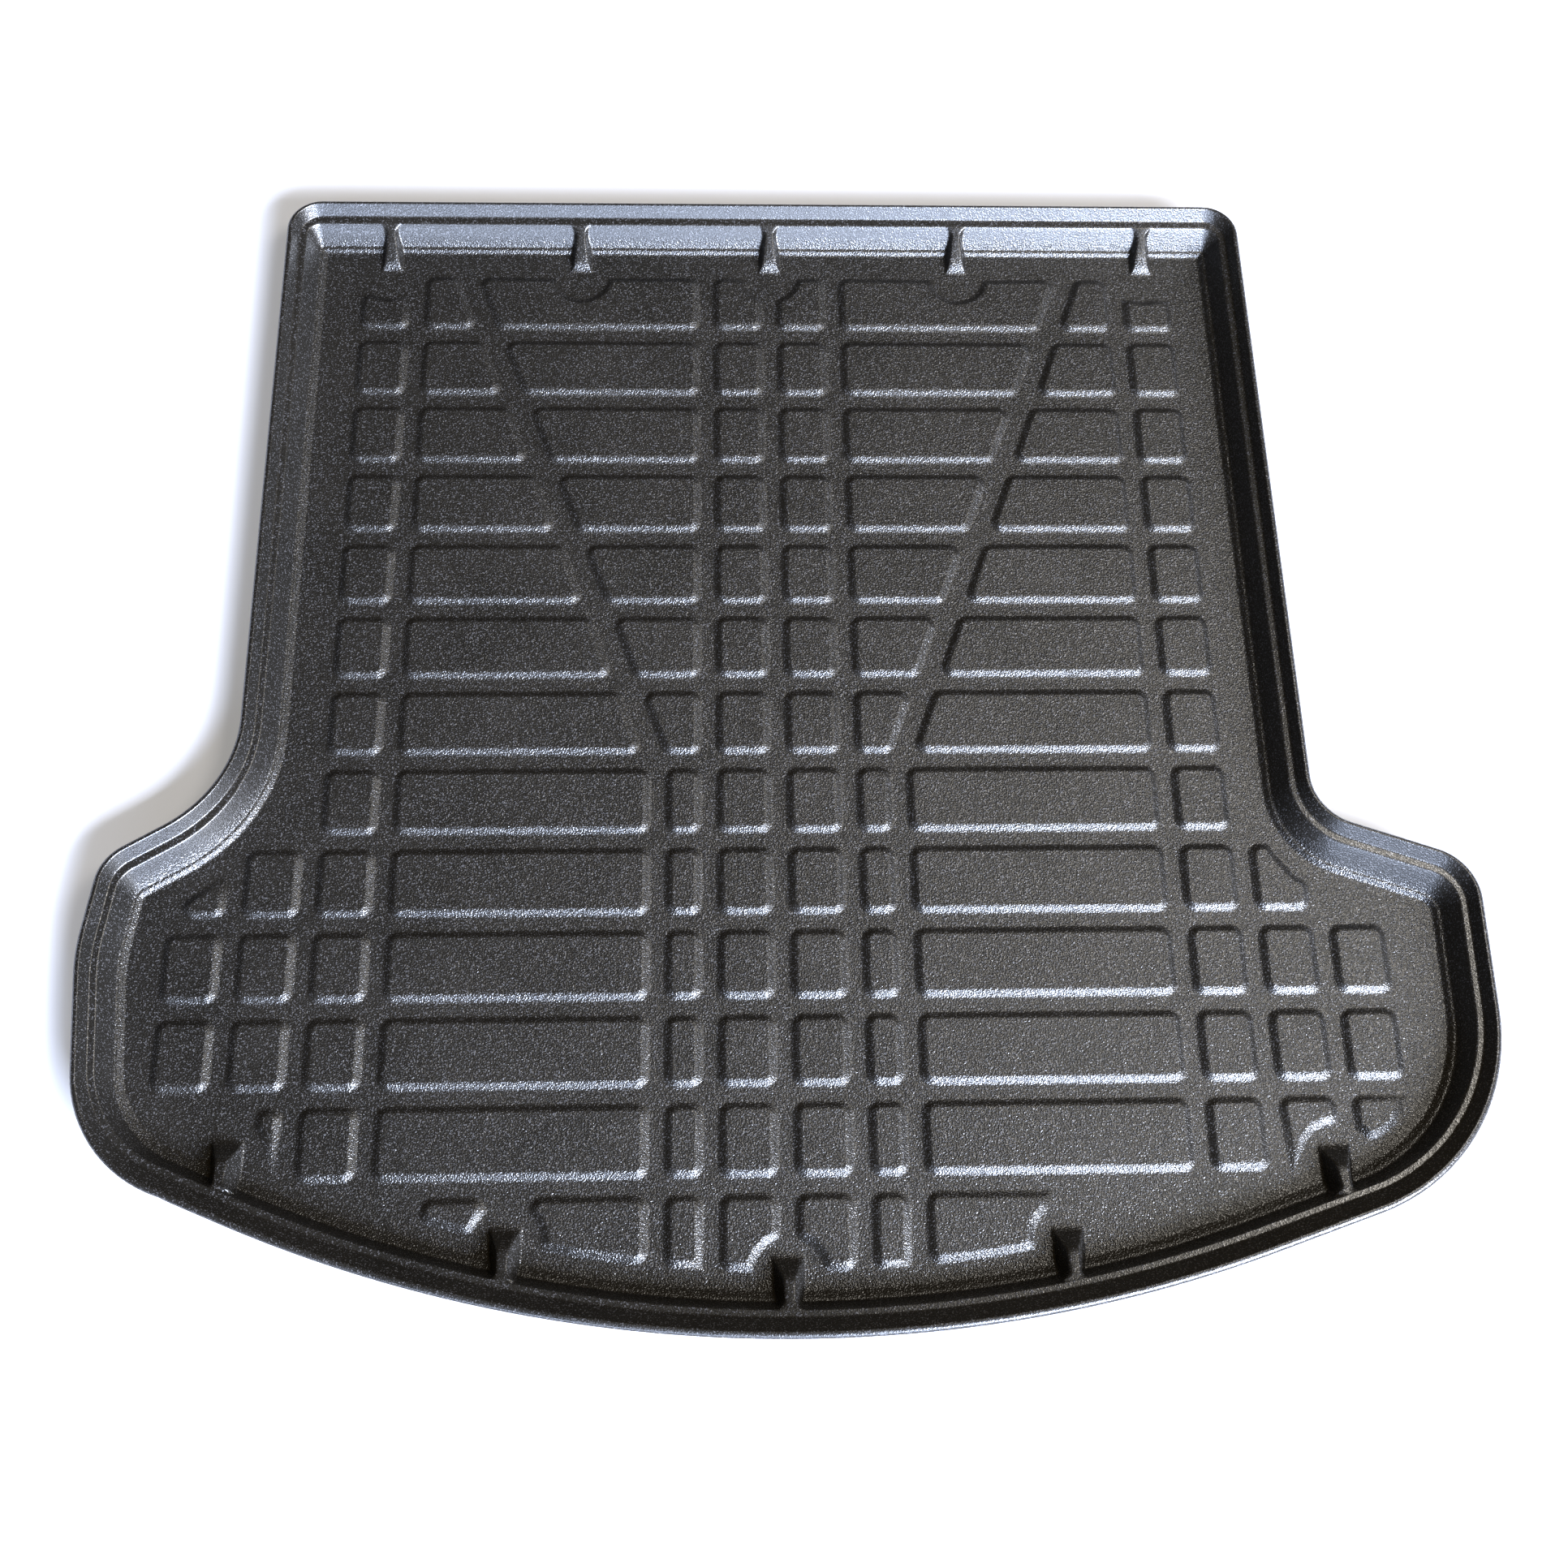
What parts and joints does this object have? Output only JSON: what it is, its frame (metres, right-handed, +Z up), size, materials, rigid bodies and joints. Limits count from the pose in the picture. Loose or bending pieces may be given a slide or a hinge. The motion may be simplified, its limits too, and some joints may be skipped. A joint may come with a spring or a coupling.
{
  "type": "car boot liner",
  "caption": "Shallow formed plastic tray with a stepped lip, stiffening gussets and raised anti-slip pads, shaped to lie in a car boot and widen behind the wheel arches.",
  "frame": {"origin": "on the surface that the liner lies on, under the middle of its outline", "axes": "+Z up, +Y towards the rear seats, +X to the right as seen from the open tailgate"},
  "size_m": [1.2632, 1.154, 0.0405],
  "materials": {
    "liner_plastic": "fine moulded grain, semi-matt"
  },
  "bodies": {
    "root": {"boot_liner": "liner_plastic"}
  },
  "joints": []
}
